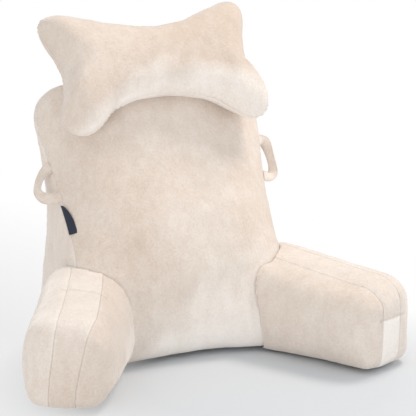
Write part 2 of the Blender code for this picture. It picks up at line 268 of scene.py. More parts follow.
def cut_outline(corners, count):
    """A pattern's closed outline of straight runs and arcs, from corners of (x, y, radius)."""
    outline = []
    for index, (x, y, radius) in enumerate(corners):
        here = np.array((x, y))
        before = np.array(corners[index - 1][:2]) - here
        after = np.array(corners[(index + 1) % len(corners)][:2]) - here
        before /= np.linalg.norm(before)
        after /= np.linalg.norm(after)
        half = math.acos(float(before @ after)) / 2
        middle = here + (before + after) / np.linalg.norm(before + after) * radius / math.sin(half)
        start = here + before * radius / math.tan(half) - middle
        side = math.copysign(1, before[0] * after[1] - before[1] * after[0])
        for step in np.linspace(0, 1, ARC_POINTS):
            angle = -side * (math.pi - 2 * half) * step
            cos, sin = math.cos(angle), math.sin(angle)
            outline.append(middle + (start[0] * cos - start[1] * sin, start[0] * sin + start[1] * cos))
    return evenly(np.array(outline), count)


def swell(share, softness):
    """Height of a filled panel, from 0 at its seam to 1 over its middle."""
    return (1 - (1 - share) ** 3) ** softness


SPINE_RADIUS = 0.005


def spine_of(outline, axis, low, high, across):
    """For each outline point, the nearest one of a narrow oval: the panel's fullest line."""
    nearest = np.full_like(outline, across)
    nearest[:, axis] = np.clip(outline[:, axis], low, high)
    away = outline - nearest
    return nearest + away / np.linalg.norm(away, axis=1)[:, None] * SPINE_RADIUS


def pressed(height):
    """1 at the floor, where a panel is squashed out over its seam, 0 above 60 mm."""
    return np.clip(1 - height / 0.060, 0, 1)


def rising(value, low, high):
    """0 up to low, 1 from high on, and even between them."""
    return np.clip((value - low) / (high - low), 0, 1)


def closed_mesh(name, rings):
    """One closed body: rings of points joined by quads, with a strip across each end."""
    mesh = bmesh.new()
    rows = [[mesh.verts.new(point) for point in ring] for ring in rings]
    count = len(rows[0])
    for near, far in zip(rows, rows[1:]):
        for i in range(count):
            j = (i + 1) % count
            mesh.faces.new((near[i], near[j], far[j], far[i]))
    for row in (rows[0], rows[-1]):
        for i in range(count // 2):
            corners = (row[i], row[i + 1], row[count - i - 1], row[-i % count])
            mesh.faces.new(list(dict.fromkeys(corners)))
    bmesh.ops.recalc_face_normals(mesh, faces=mesh.faces[:])
    data = bpy.data.meshes.new(name)
    mesh.to_mesh(data)
    mesh.free()
    data.shade_smooth()
    piece = bpy.data.objects.new(name, data)
    bpy.context.scene.collection.objects.link(piece)
    return piece


def draft_cover(name, outline, spine, front, rear, sag, bulge=0.007):
    """A cushion's cover before it is stuffed, and its two seams as closed lines.

    front and rear turn places on the pattern into points, at a share of the way inwards.
    The strip between the seams bulges outwards, and sags where it faces the floor.
    """
    shares = np.linspace(0, 1, PANEL_RINGS) ** 1.35
    inwards = [outline + (spine - outline) * share for share in shares]
    rings = [front(place, share) for place, share in zip(inwards, shares)][::-1]
    seam_front, seam_rear = front(outline, 0.0), rear(outline, 0.0)
    outwards = seam_front - front(inwards[1], shares[1])
    outwards /= np.linalg.norm(outwards, axis=1)[:, None]
    under = np.clip(-outwards[:, 2:] * 2.5 - 1.5, 0, 1)
    width = np.linalg.norm(seam_rear - seam_front, axis=1)[:, None]
    near = np.minimum(0.010 / np.maximum(width, 0.010), 0.3)
    for across, share in ((near, 0.7), (near * 0 + 0.5, 1.0), (1 - near, 0.7)):
        middle = seam_front * (1 - across) + seam_rear * across
        rings.append(middle + outwards * bulge * share + under * (0, 0, -sag))
    rings += [rear(place, share) for place, share in zip(inwards, shares)]
    move = np.array((0, CREASE_Y, 0))
    rings = [np.array(ring, float) + move for ring in rings]
    for ring in rings:
        ring[:, 2] = np.maximum(ring[:, 2], 0.0)
    return closed_mesh(name, rings), [evenly(seam + move, SEAM_POINTS) for seam in (seam_front, seam_rear)]


def settle(piece):
    """Turns a piece's live modifiers into its mesh."""
    graph = bpy.context.evaluated_depsgraph_get()
    made = bpy.data.meshes.new_from_object(piece.evaluated_get(graph))
    old = piece.data
    piece.modifiers.clear()
    piece.data = made
    bpy.data.meshes.remove(old)
    made.name = piece.name


def relax(piece, voxel, ease):
    """Gives the cover an even mesh and takes the drafting edges out of it."""
    remesh = piece.modifiers.new("even", "REMESH")
    remesh.mode = "VOXEL"
    remesh.voxel_size = voxel
    remesh.use_smooth_shade = True
    smooth = piece.modifiers.new("ease", "SMOOTH")
    smooth.factor = 0.5
    smooth.iterations = ease
    settle(piece)


def places_of(mesh, field="co"):
    """The places of a mesh's points, or another field of three numbers, as rows."""
    values = np.empty(len(mesh.vertices) * 3, np.float32)
    mesh.vertices.foreach_get(field, values)
    return values.reshape(-1, 3).astype(float)


def move_to(mesh, places):
    mesh.vertices.foreach_set("co", places.astype(np.float32).ravel())
    mesh.update()


def nearest_on(lines, places):
    """Each place's distance to the nearest of the lines' points, and that point's number."""
    points = np.vstack(lines)
    tree = KDTree(len(points))
    for number, point in enumerate(points):
        tree.insert(point, number)
    tree.balance()
    found = [tree.find(place)[1:] for place in places]
    return np.array([f[1] for f in found]), np.array([f[0] for f in found])


def distance_to(node, places, reach):
    """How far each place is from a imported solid, or reach where it is further."""
    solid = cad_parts[node].data
    tree = BVHTree.FromPolygons([v.co for v in solid.vertices], [p.vertices for p in solid.polygons])
    found = [tree.find_nearest(place, reach)[3] for place in places]
    return np.array([reach if d is None else d for d in found])


def stuff(piece, seams, neighbours, pressure, most):
    """Blows the cover out with its filling.

    Its seams and what it is pressed against hold it, and nothing moves further than most.
    """
    before = places_of(piece.data)
    held = nearest_on(seams, before)[0] < HELD_AT_SEAM
    held |= before[:, 2] < HELD_AT_FLOOR
    for node in neighbours:
        held |= distance_to(node, before, HELD_AT_CONTACT * 1.5) < HELD_AT_CONTACT
    group = piece.vertex_groups.new(name="held")
    group.add(np.flatnonzero(held).tolist(), 1.0, "REPLACE")
    cloth = piece.modifiers.new("filling", "CLOTH")
    cloth.settings.quality = 4
    cloth.settings.mass = 0.2
    cloth.settings.tension_stiffness = 10
    cloth.settings.compression_stiffness = 10
    cloth.settings.shear_stiffness = 4
    cloth.settings.bending_stiffness = 0.3
    cloth.settings.use_pressure = True
    cloth.settings.uniform_pressure_force = pressure
    cloth.settings.effector_weights.gravity = 0
    cloth.settings.vertex_group_mass = "held"
    cloth.collision_settings.use_collision = False
    cloth.point_cache.frame_end = FILLING_STEPS
    for step in range(1, FILLING_STEPS + 1):
        bpy.context.scene.frame_set(step)
    settle(piece)
    bpy.context.scene.frame_set(1)
    piece.vertex_groups.clear()
    moved = places_of(piece.data) - before
    far = np.linalg.norm(moved, axis=1)[:, None] + 1e-9
    after = before + moved * most * np.tanh(far / most) / far
    after[:, 2] = np.maximum(after[:, 2], 0.0)
    move_to(piece.data, after)
    finer = piece.modifiers.new("finer", "SUBSURF")
    finer.levels = finer.render_levels = 1
    settle(piece)


def lumps(places, size, seed):
    """Slow noise about 0, for filling that lies a little unevenly."""
    shift = Vector((seed * 3.1, seed * 1.7, seed * 2.3))
    return np.array([noise.noise(Vector(place) / size + shift) for place in places])


def store(piece, name, values):
    """Keeps a number for each point of a piece, for its cloth's material to read."""
    kept = piece.data.attributes.new(name, "FLOAT", "POINT")
    kept.data.foreach_set("value", np.asarray(values, np.float32))


CONTACT_LIGHT_WIDTH = 0.0045


def contact_light(piece, neighbours):
    """Keeps how close each point is to what the piece is sewn to, 1 where they meet, for painted light that
    lifts the shade there.
    """
    places = places_of(piece.data)
    near = np.min([distance_to(node, places, 0.02) for node in neighbours], axis=0)
    store(piece, "contact_light", np.exp(-((near / CONTACT_LIGHT_WIDTH) ** 2)))


BESIDE_SEAM = 0.03  # within this, the side of the seam alone tells panel from strip
PANEL_FACING = 0.6  # beyond that, a panel faces across the strip by more than this
PUCKER_REACH = 0.014
NO_JOIN = 1.0  # distance to a seam across the strip where there is none


def sew(piece, seams, into_strip, join, sewn_to, depth, width, pucker, spacing, uneven, seed):
    """Draws the seams in, puckers the cloth beside them and makes the filling uneven.

    into_strip points from each seam into the strip, and join is the distance to a seam
    across the strip. Close to what the piece is sewn to, it keeps its shape.
    """
    mesh = piece.data
    places = places_of(mesh)
    normals = places_of(mesh, "normal")
    away, number = nearest_on(seams, places)
    lengths = [np.linalg.norm(np.roll(seam, -1, 0) - seam, axis=1) for seam in seams]
    along = np.concatenate([np.cumsum(steps) for steps in lengths])[number]
    across = np.vstack(into_strip)[number]
    inwards = ((places - np.vstack(seams)[number]) * across).sum(axis=1) > 0
    facing = np.abs((normals * across).sum(axis=1)) / np.linalg.norm(across, axis=1)
    inwards &= (away < BESIDE_SEAM) | (facing < PANEL_FACING)
    nearest = np.minimum(away, np.abs(join))
    turn = lumps(np.stack([along, number * 0, number * 0], axis=1), 0.03, seed)
    strength = lumps(np.stack([along, number * 0 + 9, number * 0], axis=1), 0.06, seed)
    strength = np.clip(strength * 2.2 + 0.35, 0, 1)
    folds = np.sin(along / spacing * 2 * math.pi + turn * 5.0)
    free = rising(places[:, 2], 0.003, 0.015)
    for node in sewn_to:
        free *= rising(distance_to(node, places, 0.03), 0.002, 0.014)
    groove = np.exp(-((nearest / width) ** 2))
    beside = np.exp(-away / PUCKER_REACH) * (1 - groove)
    out = -depth * groove + pucker * strength * folds * beside
    out += uneven * (lumps(places, 0.085, seed) + 0.45 * lumps(places, 0.030, seed + 5)) * (1 - groove)
    moved = places + normals * (out * free)[:, None]
    lowest = moved[:, 2].min()
    if lowest < 0.01:
        moved[:, 2] -= lowest * (1 - rising(moved[:, 2], 0.0, 0.030))
    move_to(mesh, moved)
    store(piece, "seam", np.where(inwards, -away, away))
    store(piece, "join", join)


def dress(piece, material, node):
    """Gives a finished piece its cloth and puts it in its solid's place."""
    piece.data.materials.clear()
    piece.data.materials.append(material)
    piece.data.shade_smooth()
    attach(piece, "root")
    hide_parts(node)


heights = np.linspace(BOTTOM_SEAM, TOP_SEAM - TOP_CORNER, 24)
right_side = [
    (float(read(SIDE_SEAMS, height, HALF_WIDTH)), height, 0.001 if height > BOTTOM_SEAM else 0.02)
    for height in heights
]
shoulder = (float(read(SIDE_SEAMS, TOP_SEAM, HALF_WIDTH)), TOP_SEAM, TOP_CORNER * 0.9)
corners = right_side + [shoulder, (-shoulder[0], *shoulder[1:])]
corners += [(-x, height, radius) for x, height, radius in reversed(right_side)]
backrest_outline = cut_outline(corners, 220)


def backrest_panel(place, share, seam, towards, crown):
    """Points of its front or rear panel. towards is -1 to the front and 1 to the rear."""
    across, height = place.T
    from_middle = across / read(SIDE_SEAMS, height, HALF_WIDTH)
    low_share = np.clip(1 - height / FOOT_HEIGHT, 0, 1)
    curve = FOOT_HOLLOW * low_share if seam == FRONT_SEAM else FOOT_ROUND
    base = read(SIDE_SEAMS, height, seam) + curve * low_share * (1 - from_middle**2)
    tilt = BACKREST_TILT * rising(height, *TILT_RISES)
    if seam == REAR_SEAM:
        tilt = tilt * REAR_TILT
    softness = 0.80 - 0.35 * pressed(height) - 0.22 * rising(height, *TOP_FULLER)
    out = towards * crown * swell(share, softness) * (1 - FOOT_FLATTER * low_share)
    return np.stack([across, base + out * np.cos(tilt), height - out * np.sin(tilt)], axis=1)


first = int(np.argmin(np.abs(backrest_outline[:, 0]) - backrest_outline[:, 1]))
backrest_outline = np.roll(backrest_outline, -first, axis=0)
backrest, backrest_seams = draft_cover(
    "backrest_cushion",
    backrest_outline,
    spine_of(backrest_outline, 1, *BACKREST_SPINE),
    lambda place, share: backrest_panel(place, share, FRONT_SEAM, -1, BACKREST_CROWN_FRONT),
    lambda place, share: backrest_panel(place, share, REAR_SEAM, 1, BACKREST_CROWN_REAR),
    sag=0.014,
)
backrest_form = backrest.copy()
backrest_form.data = backrest.data.copy()
bpy.context.scene.collection.objects.link(backrest_form)
grow = backrest_form.modifiers.new("clearance", "DISPLACE")
grow.mid_level = 0.0
grow.strength = CUT_CLEARANCE
backrest_form.hide_render = True
relax(backrest, VOXEL_BACKREST, 6)
stuff(backrest, backrest_seams, ("arm_left", "arm_right", "neck_pillow"), pressure=3.0, most=0.006)
across_strip = backrest_seams[1] - backrest_seams[0]
no_join = np.full(len(backrest.data.vertices), NO_JOIN)
sew(
    backrest, backrest_seams, (across_strip, -across_strip), no_join, ("arm_left", "arm_right"),
    depth=0.0022, width=0.0040, pucker=0.0006, spacing=0.013, uneven=0.0030, seed=1,
)
# On its front it turns paler towards the right, partly where its pile is brushed up and
# partly as painted light from the right; its rear is paler too. Painted light lifts the
# shade at its foot between the arms and under the neck pillow.
places = places_of(backrest.data)
pale_edge = np.interp(places[:, 2], *zip(*PALE_EDGE)) + 0.05 * lumps(places, 0.05, 3)
to_right = rising(places[:, 0] - pale_edge, -0.020, 0.045)
low = 1 - rising(places[:, 2], 0.05, 0.22)
front = 1 - rising(places[:, 1], -0.04, 0.05 + 0.5 * places[:, 2])
# paler to the right from brushed pile and painted light; at the foot painted light lifts the shade cast
# between the arms, more so to the right
pale_pile_and_light = 0.36 * to_right * (1 - low) + (0.80 + 0.85 * to_right) * low
# painted light that lifts the neck pillow's shadow below it
pale_pile_and_light += 0.40 * rising(places[:, 2], 0.35, 0.42)
store(backrest, "tone_shift", -0.58 + 0.20 * (1 - front) + pale_pile_and_light * front + 0.20 * lumps(places, 0.10, 3))
store(backrest, "strip", np.full(len(places), 0.3))
contact_light(backrest, ("arm_left", "arm_right", "neck_pillow"))
dress(backrest, cushion_plush, "backrest")

# ------------------------------------------------------------------ arms
# Two boxed arms of the same plush, sewn to the backrest's lower sides. A gusset strip runs
# over the top and down the front between two full side panels, in two lengths joined by a
# seam across it: on the left arm over the top, on the right one down the front.
ARM_SPLAY = math.radians(25)
ARM_TIP = (0.303, -0.170)
ARM_RUN = 0.375
ARM_TOP_FRONT = 0.160
ARM_TOP_BACK = 0.187
ARM_FOOT = (0.008, 0.003)
ARM_STRIP = 0.049
ARM_CROWN_OUT = 0.055
ARM_CROWN_IN = (0.048, 0.065)
INNER_DROP = (0.009, 0.014)  # its inner seam runs this much below the top, left and right
BOXY = 0.30  # how much squarer the right arm's inner panel is where it meets the backrest
ARM_SPINE = (0.07, ARM_RUN - 0.07, 0.075)  # its fullest line: front end, rear end, height
VOXEL_ARM = 0.0048
LEFT_STRIP = (
    # way round the pattern from half way up the front, the strip's middle, its width
    (0.000, 0.001, 0.050),
    (0.050, -0.005, 0.053),
    (0.075, -0.009, 0.056),
    (0.100, -0.016, 0.063),
    (0.185, -0.014, 0.060),
    (0.265, -0.012, 0.059),
    (0.440, 0.000, 0.052),
    (0.600, 0.011, 0.045),
    (0.940, 0.011, 0.045),
    (1.000, 0.006, 0.048),
    (1.030, 0.001, 0.050),
)
JOIN_LEFT = 0.160  # back from the front, over the top
JOIN_RIGHT = 0.098  # above the floor, down the front

arm_corners = (
    (0.0, ARM_FOOT[0], 0.022),
    (0.0, ARM_TOP_FRONT, 0.042),
    (ARM_RUN, ARM_TOP_BACK, 0.110),
    (ARM_RUN, ARM_FOOT[1], 0.020),
)
arm_outline = cut_outline(arm_corners, 180)
arm_outline[:, 0] += 0.012 * (arm_outline[:, 1] / ARM_TOP_FRONT - 0.5) ** 2
first = int(np.argmin(arm_outline[:, 0] + np.abs(arm_outline[:, 1] - ARM_TOP_FRONT / 2)))
arm_outline = np.roll(arm_outline, -first, axis=0)
arm_back = np.array((-math.sin(ARM_SPLAY), math.cos(ARM_SPLAY)))
arm_across = np.array((math.cos(ARM_SPLAY), math.sin(ARM_SPLAY)))
round_it = np.concatenate([[0], np.cumsum(np.linalg.norm(np.diff(arm_outline, axis=0), axis=1))])
evened = np.hanning(23) / np.hanning(23).sum()
left_strip = []
for column in (1, 2):
    drafted = np.interp(round_it, *zip(*((row[0], row[column]) for row in LEFT_STRIP)))
    left_strip.append(np.convolve(np.pad(drafted, 11, "wrap"), evened, "valid"))
strip_middle, strip_width = left_strip


def arm_panel(place, share, towards, side):
    """Points of an arm's outer panel, where towards is 1, or its inner one, where it is -1."""
    inner = np.interp(place[:, :1], (0.03, 0.20), ARM_CROWN_IN)
    full = ARM_STRIP / 2 + (ARM_CROWN_OUT if towards > 0 else inner)
    edge = np.full((len(place), 1), ARM_STRIP / 2)
    if side < 0:
        edge = (strip_width / 2 + towards * strip_middle)[:, None]
        full = full + 0.006 * (towards < 0) * np.interp(place[:, 1:], (0.05, 0.13), (1, 0))
    softness = (0.48 if towards > 0 else 0.56) - 0.22 * pressed(place[:, 1:])
    dropped = 0.0
    if towards < 0:
        over = rising(arm_outline[:, 1], 0.11, 0.15)
        if side < 0:
            over = over * rising(-strip_middle, 0.0, 0.012)
            softness = softness + 0.30 * over[:, None]
        else:
            softness = softness - BOXY * rising(arm_outline[:, :1], 0.12, 0.26)
        dropped = INNER_DROP[0 if side < 0 else 1] * over * (1 - share)
    out = towards * (edge + (full - edge) * swell(share, softness))
    flat = np.array(ARM_TIP) + place[:, :1] * arm_back + out * arm_across
    return np.stack([side * flat[:, 0], flat[:, 1], place[:, 1] - dropped], axis=1)


def trim_against(piece, form):
    """Cuts the cover back to what it is sewn to or pressed against."""
    cut = piece.modifiers.new("trim", "BOOLEAN")
    cut.operation = "DIFFERENCE"
    cut.solver = "EXACT"
    cut.object = form
    settle(piece)


for word, side, seed in (("left", -1, 11), ("right", 1, 17)):
    arm, arm_seams = draft_cover(
        "arm_" + word + "_cushion",
        arm_outline,
        spine_of(arm_outline, 0, *ARM_SPINE),
        lambda place, share, side=side: arm_panel(place, share, 1, side),
        lambda place, share, side=side: arm_panel(place, share, -1, side),
        sag=0.004,
        bulge=0.011,
    )
    trim_against(arm, backrest_form)
    relax(arm, VOXEL_ARM, 5)
    stuff(arm, arm_seams, ("backrest",), pressure=3.0, most=0.005)
    places = places_of(arm.data)
    flat = places[:, :2] * (side, 1) - (0, CREASE_Y) - np.array(ARM_TIP)
    back, outer, height = flat @ arm_back, flat @ arm_across, places[:, 2]
    over_top = height > 0.12
    down_front = (back < 0.06) & (height > 0.03)
    if side < 0:
        join = np.where(over_top & (np.abs(outer + 0.013) < 0.040), back - JOIN_LEFT, NO_JOIN)
    else:
        join = np.where(down_front & (np.abs(outer) < 0.034), height - JOIN_RIGHT, NO_JOIN)
    across_strip = arm_seams[1] - arm_seams[0]
    sew(
        arm, arm_seams, (across_strip, -across_strip), join, ("backrest",),
        depth=0.0015, width=0.0036, pucker=0.0006, spacing=0.012, uneven=0.0026, seed=seed,
    )
    # Each panel and the strip is its own cut, whose pile lies its own way, so that their tones
    # differ; painted light and shade lie over these tones.
    to_front = 1 - rising(back, 0.0, 0.045)
    ragged = 0.006 * lumps(places, 0.006, seed + 2) + 0.004 * lumps(places, 0.018, seed + 3)
    below = 1 - rising(height + ragged, 0.145, 0.153)
    if side < 0:
        # left arm: a painted highlight over the outer panel's top, a darker inner panel with a painted rim
        # highlight low towards the backrest, and painted shade down the strip's front, darkest at its foot
        rim_highlight = rising(back, 0.10, 0.15) * (1 - rising(height, 0.07, 0.11)) * (outer < 0)
        panel = np.where(outer > 0, -0.05 + 0.35 * (1 - below), -0.50 + 0.8 * rim_highlight)
        strip = 0.18 - to_front * below * (0.48 + 0.40 * (1 - rising(height, 0.01, 0.06)))
    else:
        # right arm: a darker inner panel, and the strip's front much paler below its join, partly its own cut
        # and partly painted light from the front right
        panel = np.where(outer > 0, 0.1, -0.20)
        strip = 0.08 + to_front * np.where(height > JOIN_RIGHT, -0.10, 1.05)
    store(arm, "tone_shift", panel + 0.16 * lumps(places, 0.07, seed))
    store(arm, "strip", strip - panel)
    contact_light(arm, ("backrest",))
    dress(arm, cushion_plush, "arm_" + word)

# ------------------------------------------------------------------ neck pillow
# A butterfly-shaped pillow with four ears: two plush panels sewn together along one seam,
# lying against the top of the backrest.
NECK_CENTRE = (0.002, 0.200, 0.505)
NECK_LEAN = math.radians(42)
NECK_ROLL = math.radians(1.1)
NECK_CROWN = 0.048
NECK_EARS_BACK = 0.018  # its seam runs nearer to the rear round the ears
NECK_SEAM = (
    # out from the middle, up from the middle: the right half, from the top round to the bottom
    (0.000, 0.084),
    (0.070, 0.091),
    (0.125, 0.113),
    (0.166, 0.126),
    (0.194, 0.117),
    (0.198, 0.087),
    (0.182, 0.040),
    (0.176, 0.000),
    (0.184, -0.040),
    (0.200, -0.078),
    (0.202, -0.098),
    (0.186, -0.118),
    (0.158, -0.123),
    (0.130, -0.106),
    (0.100, -0.078),
    (0.052, -0.060),
    (0.000, -0.056),
)
NECK_RIGHT_WAIST = 0.011  # how much further its right side is drawn in below the middle
NECK_LEFT_TOP = 0.0045  # how much less its top edge dips on the left
NECK_SPINE = (-0.125, 0.125, 0.012)  # its fullest line: left end, right end, height
VOXEL_NECK = 0.0042
LOWER_BAND = (
    # out from the middle, and how far up its paler lower band reaches there
    (-0.200, -0.128),
    (-0.118, -0.068),
    (-0.070, -0.034),
    (-0.028, -0.022),
    (0.069, -0.026),
    (0.152, -0.047),
    (0.200, -0.060),
)

neck_half = np.array(NECK_SEAM)
drawn_in = NECK_RIGHT_WAIST * np.exp(-(((neck_half[:, 1:] + 0.050) / 0.035) ** 2))
raised = NECK_LEFT_TOP * np.exp(-(((neck_half[:, :1] - 0.080) / 0.050) ** 2)) * (neck_half[:, 1:] > 0)
left_half = (neck_half + raised * (0, 1)) * (-1, 1)
neck_whole = np.vstack([neck_half - drawn_in * (1, 0), left_half[-2:0:-1]])
neck_line = []
for k in range(len(neck_whole)):
    a, b, c, d = (neck_whole[(k + step) % len(neck_whole)] for step in (-1, 0, 1, 2))
    for t in np.linspace(0, 1, 12, endpoint=False):
        bend = (2 * a - 5 * b + 4 * c - d) * t**2 + (3 * b - a - 3 * c + d) * t**3
        neck_line.append(b + (c - a) * t / 2 + bend / 2)
neck_outline = evenly(np.array(neck_line), 240)
first = int(np.argmin(np.abs(neck_outline[:, 1]) - neck_outline[:, 0]))
neck_outline = np.roll(neck_outline, -first, axis=0)
neck_up = np.array((0, math.sin(NECK_LEAN), math.cos(NECK_LEAN)))
neck_out = np.array((0, -math.cos(NECK_LEAN), math.sin(NECK_LEAN)))
neck_along = np.array((1, 0, 0)) * math.cos(NECK_ROLL) + neck_up * math.sin(NECK_ROLL)
neck_up = np.cross(neck_out, neck_along)


def neck_panel(place, share, towards):
    """Points of its front panel, where towards is 1, or its rear one, where it is -1."""
    flat = np.array(NECK_CENTRE) + place[:, :1] * neck_along + place[:, 1:] * neck_up
    back = NECK_EARS_BACK * rising(np.abs(place[:, :1]), 0.07, 0.17)
    flat = flat + back * 0.42 * neck_up
    crown = NECK_CROWN + towards * back
    return flat + neck_out * (towards * crown * swell(max(share, 0.012), 0.60) - back)


neck, neck_seams = draft_cover(
    "neck_pillow_cushion",
    neck_outline,
    spine_of(neck_outline, 0, *NECK_SPINE),
    lambda place, share: neck_panel(place, share, 1),
    lambda place, share: neck_panel(place, share, -1),
    sag=0.0,
    bulge=0.003,
)
neck_seam = [evenly((neck_seams[0] + neck_seams[1]) / 2, SEAM_POINTS)]
trim_against(neck, backrest_form)
relax(neck, VOXEL_NECK, 5)
stuff(neck, neck_seam, ("backrest",), pressure=3.0, most=0.005)
neck_rear = np.tile(-neck_out, (SEAM_POINTS, 1))
sew(
    neck, neck_seam, (neck_rear,), np.full(len(neck.data.vertices), NO_JOIN), ("backrest",),
    depth=0.0020, width=0.0034, pucker=0.0014, spacing=0.011, uneven=0.0026, seed=23,
)
places = places_of(neck.data)
from_centre = places - np.array(NECK_CENTRE) - (0, CREASE_Y, 0)
along_it, up_it = from_centre @ neck_along, from_centre @ neck_up
# its lower band is paler, partly brushed pile and partly a painted sheen highlight where it curves under; it
# is darker towards the right
band = np.interp(along_it, *zip(*LOWER_BAND)) + 0.020 * lumps(places, 0.04, 27)
lower_band_highlight = rising(band - up_it, -0.016, 0.026)
darker_to_right = -0.46 - 0.38 * rising(along_it, -0.12, 0.05)
store(neck, "tone_shift", darker_to_right + 1.50 * lower_band_highlight + 0.25 * lumps(places, 0.08, 29))
store(neck, "strip", np.zeros(len(places)))
contact_light(neck, ("backrest",))
dress(neck, cushion_plush, "neck_pillow")

# ------------------------------------------------------------------ strap handles
# A loop of folded plush tape sewn into each side seam, flat where it leaves the seam and
# turned to face outwards round the loop.
STRAP_WIDTH = 0.0215
STRAP_THICKNESS = 0.0034
STRAP_OUT = (0.95, 0.30, -0.06)
STRAP_RINGS = 97
STITCH_ROWS = ((-0.8, -1), (-0.8, 1), (0.8, -1), (0.8, 1))  # place across it, and which face
STITCH_SIZES = (("Stitch length", 0.0023), ("Spacing", 0.0031), ("Thread", 0.00038), ("Seed", 5))
ROUND_TAPE = np.linspace(0, 2 * math.pi, 28, endpoint=False)
STRAPS = (
    # name, side, heights of its upper and lower ends in the seam, reach, degrees turned, route
    ("left", -1, 0.337, 0.289, 0.034, 50, 0),
    ("right", 1, 0.351, 0.291, 0.022, 85, 1),
)
STRAP_ROUTES = (
    (
        # step, share of the way down between its ends, share of its reach, share of its turn
        (0, -0.02, -0.12, 0.0),
        (1, 0.04, 0.10, 0.1),
        (2, 0.15, 0.42, 0.6),
        (3, 0.36, 0.76, 0.9),
        (4, 0.62, 0.98, 1.0),
        (5, 0.84, 0.86, 0.8),
        (6, 0.97, 0.52, 0.3),
        (7, 1.00, 0.15, 0.0),
        (8, 1.00, -0.12, 0.0),
    ),
    (
        (0, 0.00, -0.12, 0.0),
        (1, 0.00, 0.10, 0.06),
        (2, 0.04, 0.50, 0.47),
        (3, 0.26, 0.78, 0.88),
        (4, 0.60, 0.98, 1.0),
        (5, 0.86, 0.94, 0.7),
        (6, 0.98, 0.55, 0.2),
        (7, 1.00, 0.15, 0.0),
        (8, 1.00, -0.12, 0.0),
    ),
)


def seam_point(height, side):
    """A point of the backrest's front side seam."""
    x, y = (float(read(SIDE_SEAMS, height, column)) for column in (HALF_WIDTH, FRONT_SEAM))
    return np.array((side * x, y + CREASE_Y, height))


def flattened(value, power):
    """A sine or cosine that makes the round of a tape squarer the lower the power is."""
    return math.copysign(abs(value) ** power, value)


thread = Finish("sewing_thread", Roughness=0.7, Specular_IOR_Level=0.3)
place = thread.node("ShaderNodeTexCoord", output="Object")
twist = clouds(thread, place, 2600.0, 1.0)
twisted = (twist + 0.5).kept()
thread.give(Base_Color=thread.between(twisted, (0.58, 0.47, 0.38, 1), (0.80, 0.71, 0.62, 1)))


def stitch_tree(material):
    """Rows of stitches: a short rounded thread set at even steps along every drawn line."""
    tree = bpy.data.node_groups.new("rows_of_stitches", "GeometryNodeTree")
    for name, kind in (
        ("Rows", "NodeSocketGeometry"),
        ("Stitch length", "NodeSocketFloat"),
        ("Spacing", "NodeSocketFloat"),
        ("Thread", "NodeSocketFloat"),
        ("Seed", "NodeSocketInt"),
    ):
        tree.interface.new_socket(name=name, in_out="INPUT", socket_type=kind)
    tree.interface.new_socket(name="Stitches", in_out="OUTPUT", socket_type="NodeSocketGeometry")

    def add(kind, **settings):
        made = tree.nodes.new(kind)
        for name, value in settings.items():
            setattr(made, name, value)
        return made

    given, result = add("NodeGroupInput"), add("NodeGroupOutput")
    curve = add("GeometryNodeMeshToCurve")
    points = add("GeometryNodeCurveToPoints", mode="LENGTH")
    stitch = add("GeometryNodeMeshUVSphere")
    stitch.inputs["Segments"].default_value = 8
    stitch.inputs["Rings"].default_value = 5
    stitch.inputs["Radius"].default_value = 1.0
    shape = add("ShaderNodeCombineXYZ")
    half = add("ShaderNodeMath", operation="MULTIPLY")
    half.inputs[1].default_value = 0.5
    stretched = add("GeometryNodeTransform")
    placed = add("GeometryNodeInstanceOnPoints")
    sizes = add("FunctionNodeRandomValue", data_type="FLOAT")
    sizes.inputs[2].default_value = 0.85  # the least
    sizes.inputs[3].default_value = 1.10  # the most
    real = add("GeometryNodeRealizeInstances")
    finish = add("GeometryNodeSetMaterial")
    finish.inputs["Material"].default_value = material
    for start, end in (
        (given.outputs["Rows"], curve.inputs["Mesh"]),
        (curve.outputs["Curve"], points.inputs["Curve"]),
        (given.outputs["Spacing"], points.inputs["Length"]),
        (given.outputs["Stitch length"], half.inputs[0]),
        (given.outputs["Thread"], shape.inputs["X"]),
        (given.outputs["Thread"], shape.inputs["Y"]),
        (half.outputs[0], shape.inputs["Z"]),
        (stitch.outputs["Mesh"], stretched.inputs["Geometry"]),
        (shape.outputs[0], stretched.inputs["Scale"]),
        (points.outputs["Points"], placed.inputs["Points"]),
        (stretched.outputs["Geometry"], placed.inputs["Instance"]),
        (points.outputs["Rotation"], placed.inputs["Rotation"]),
        (given.outputs["Seed"], sizes.inputs["Seed"]),
        (sizes.outputs[1], placed.inputs["Scale"]),
        (placed.outputs["Instances"], real.inputs["Geometry"]),
        (real.outputs["Geometry"], finish.inputs["Geometry"]),
        (finish.outputs["Geometry"], result.inputs[0]),
    ):
        tree.links.new(start, end)
    return tree


